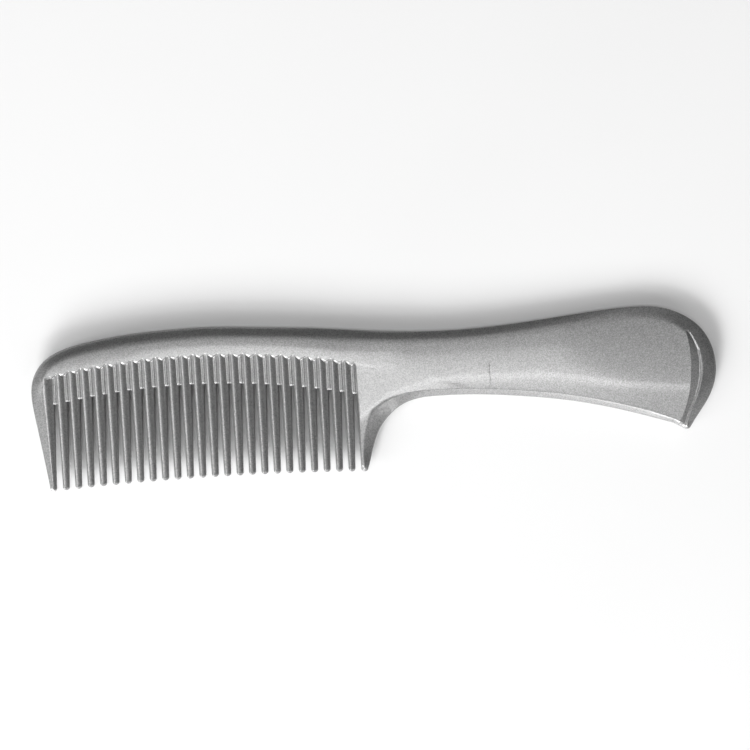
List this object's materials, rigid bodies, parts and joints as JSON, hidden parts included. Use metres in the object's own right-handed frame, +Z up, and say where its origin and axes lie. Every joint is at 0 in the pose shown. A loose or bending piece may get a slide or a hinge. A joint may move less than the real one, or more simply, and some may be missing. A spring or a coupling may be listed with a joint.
{
  "type": "wide-tooth handle comb",
  "caption": "Flat one-piece moulded comb: a curved back with wide ridged teeth between two guard teeth, and a plain handle that ends in a bevelled butt with a raised lip.",
  "frame": {"origin": "middle of the bounding box in X and Y, on the table plane that the comb lies on", "axes": "+X along the comb towards the handle's butt, +Y towards the comb's back with the teeth pointing along -Y, +Z up through the thickness"},
  "size_m": [0.2162, 0.049, 0.006],
  "materials": {
    "plastic": "semi-gloss grey with fine metallic flake"
  },
  "bodies": {
    "root": {"butt_lip": "plastic", "front_guard_tooth": "plastic", "handle_grip": "plastic", "neck": "plastic", "rear_guard_tooth": "plastic", "spine_back": "plastic", "tooth_02": "plastic", "tooth_03": "plastic", "tooth_04": "plastic", "tooth_05": "plastic", "tooth_06": "plastic", "tooth_07": "plastic", "tooth_08": "plastic", "tooth_09": "plastic", "tooth_10": "plastic", "tooth_11": "plastic", "tooth_12": "plastic", "tooth_13": "plastic", "tooth_14": "plastic", "tooth_15": "plastic", "tooth_16": "plastic", "tooth_17": "plastic", "tooth_18": "plastic", "tooth_19": "plastic", "tooth_20": "plastic", "tooth_21": "plastic", "tooth_22": "plastic", "tooth_23": "plastic", "tooth_24": "plastic", "tooth_25": "plastic", "tooth_web": "plastic"}
  },
  "joints": []
}
